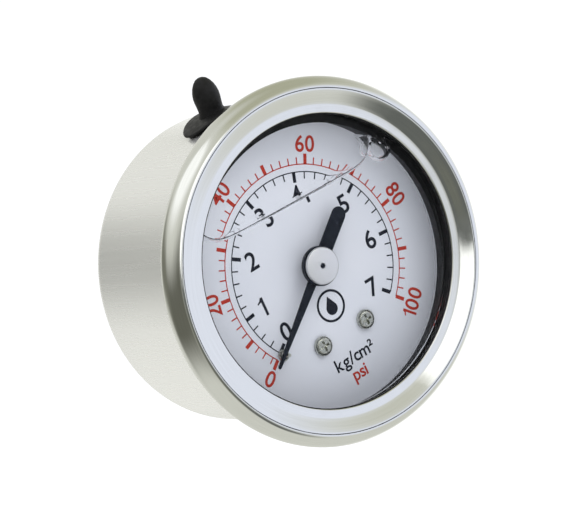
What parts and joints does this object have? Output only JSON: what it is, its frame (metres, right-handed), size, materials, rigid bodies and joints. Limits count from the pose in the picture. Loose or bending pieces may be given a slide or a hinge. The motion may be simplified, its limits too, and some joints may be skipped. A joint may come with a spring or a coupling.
{
  "type": "pressure gauge",
  "caption": "Liquid-filled dial pressure gauge: round steel case with rolled bezel, flat window, filler plug on top and a threaded stem at the centre of its back.",
  "frame": {"origin": "on the stem axis in the hand-tight gauge plane of its thread, 4.1 mm from the stem's end", "axes": "+Y along the stem, out of the back; the dial looks along -Y; +Z is 12 o'clock, +X 3 o'clock"},
  "size_m": [0.044, 0.0445, 0.0469],
  "materials": {
    "case_steel": "satin",
    "bezel_steel": "polished",
    "clear": "clear",
    "black_rubber": "matte",
    "black_plastic": "matte",
    "dial_enamel": "matte",
    "pointer_black": "satin",
    "bright_aluminium": "turned",
    "screw_steel": "satin",
    "arbor_steel": "ground",
    "brass": "machined",
    "bronze": "drawn"
  },
  "bodies": {
    "housing": {"case": "case_steel", "bezel_ring": "bezel_steel", "window": "clear", "window_gasket": "black_rubber", "spacer_ring": "black_plastic", "filler_plug": "black_rubber", "socket": "brass", "restrictor_screw": "brass", "socket_seal": "black_rubber", "back_screws": "screw_steel", "dial_plate": "dial_enamel", "dial_posts": "brass", "dial_screws": "screw_steel", "zero_stop_pin": "screw_steel", "movement_back_plate": "brass", "movement_front_plate": "brass", "movement_pillars": "brass", "movement_screws": "screw_steel", "bourdon_tube": "bronze", "hairspring_stud": "brass"},
    "pointer_assembly": {"pinion_shaft": "arbor_steel", "pointer": "pointer_black", "pointer_hub_cap": "bright_aluminium", "hairspring_collet": "brass", "hairspring": "bronze"},
    "sector": {"sector_gear": "brass", "sector_arbor": "arbor_steel", "sector_pin": "arbor_steel"},
    "link": {"link_bar": "brass"},
    "tube_end": {"tube_tip": "bronze", "tip_pin": "arbor_steel"}
  },
  "joints": [
    {"name": "pointer_spin", "type": "hinge", "parent": "housing", "child": "pointer_assembly", "pos_m": [0, 0, 0], "axis": [0, 1, 0], "range_deg": [0, 262.5], "stiffness_Nm_per_rad": 0.00002, "deforming": ["hairspring"]},
    {"name": "sector_swing", "type": "hinge", "parent": "housing", "child": "sector", "pos_m": [0, 0, -0.009], "axis": [0, 1, 0], "range_deg": [-32.9, 0]},
    {"name": "link_turn", "type": "hinge", "parent": "sector", "child": "link", "pos_m": [0.00175, 0, -0.01203], "axis": [0, 1, 0], "range_deg": [0, 31.6]},
    {"name": "tip_swing", "type": "hinge", "parent": "housing", "child": "tube_end", "pos_m": [-0.00133, 0, 0.00366], "axis": [0, 1, 0], "range_deg": [-7.6, 0], "deforming": ["bourdon_tube"]}
  ],
  "couplings": [
    {"joint": "sector_swing", "follows": "pointer_spin", "ratio": -0.125},
    {"joint": "link_turn", "follows": "pointer_spin", "ratio": 0.1199},
    {"joint": "tip_swing", "follows": "pointer_spin", "ratio": -0.0284}
  ]
}
